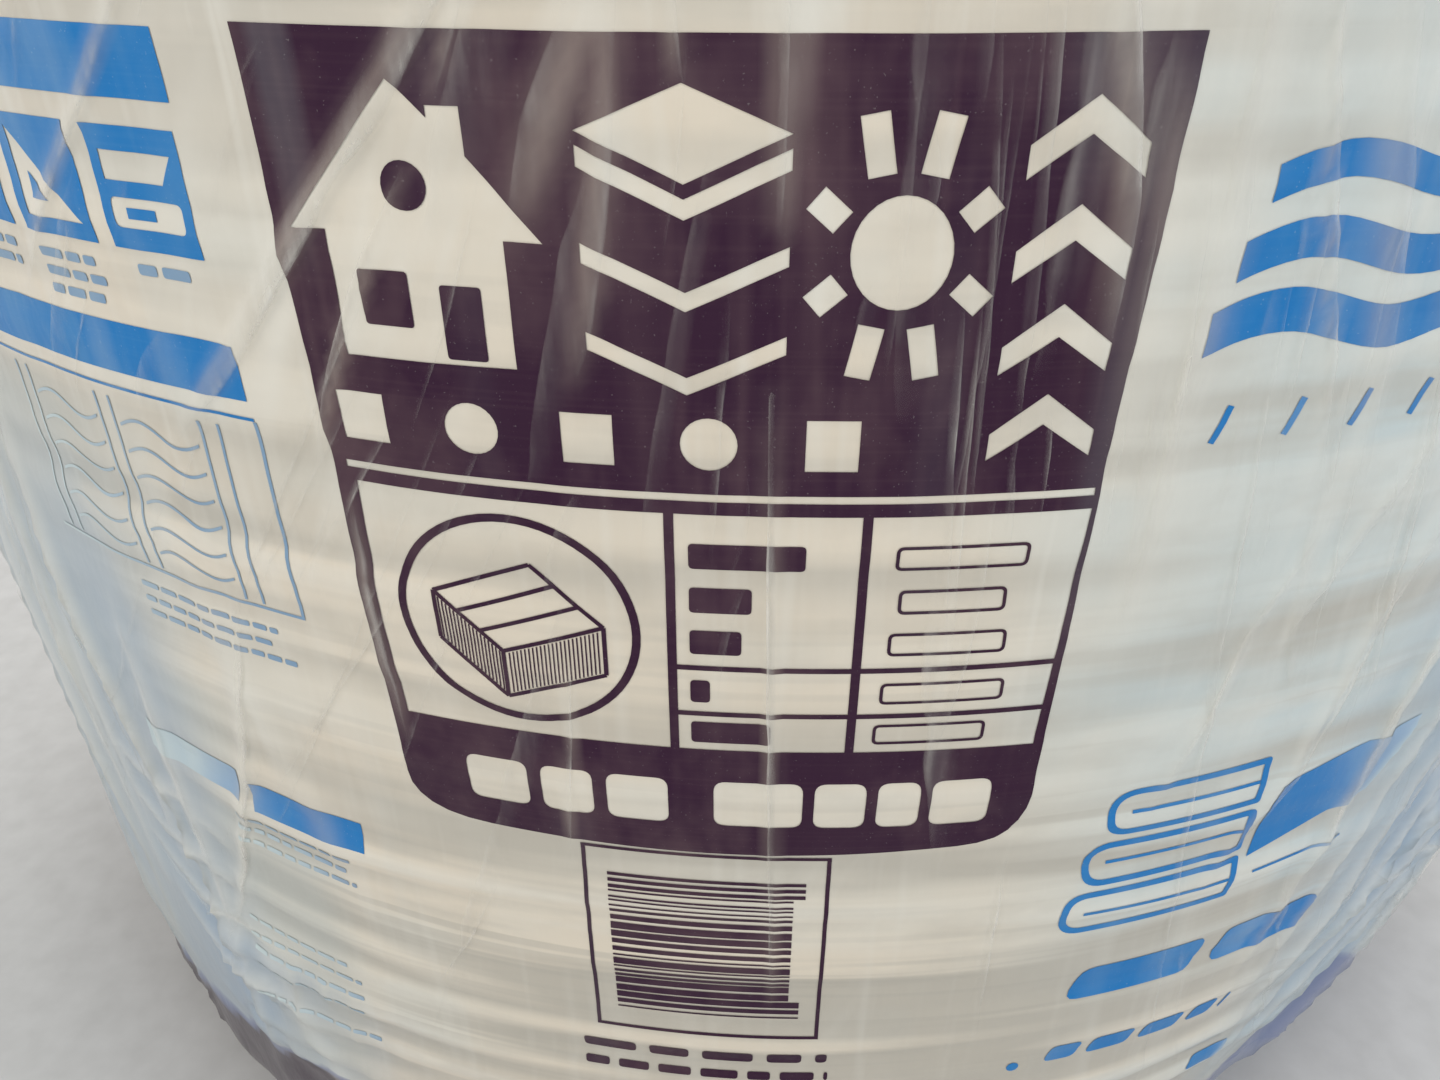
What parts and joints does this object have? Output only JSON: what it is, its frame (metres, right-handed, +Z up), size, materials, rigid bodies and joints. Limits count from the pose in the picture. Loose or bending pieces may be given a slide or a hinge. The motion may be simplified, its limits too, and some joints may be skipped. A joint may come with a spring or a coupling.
{
  "type": "insulation roll",
  "caption": "Kraft-faced glass-wool insulation batt, wound into a roll and packed on its end in a printed film bag gathered over both ends.",
  "frame": {"origin": "centre of the end that it stands on, on the floor", "axes": "+Z up along the winding axis, -Y towards the middle of the printed label"},
  "size_m": [0.4922, 0.4922, 0.3856],
  "materials": {
    "glass_wool": "matt fibrous wool with thin brown kraft edges between its turns",
    "film": "thin milky poly film, glossy and creased, printed in dark aubergine and mid blue"
  },
  "bodies": {
    "root": {"insulation_roll": "glass_wool", "film_bag": "film"}
  },
  "joints": []
}
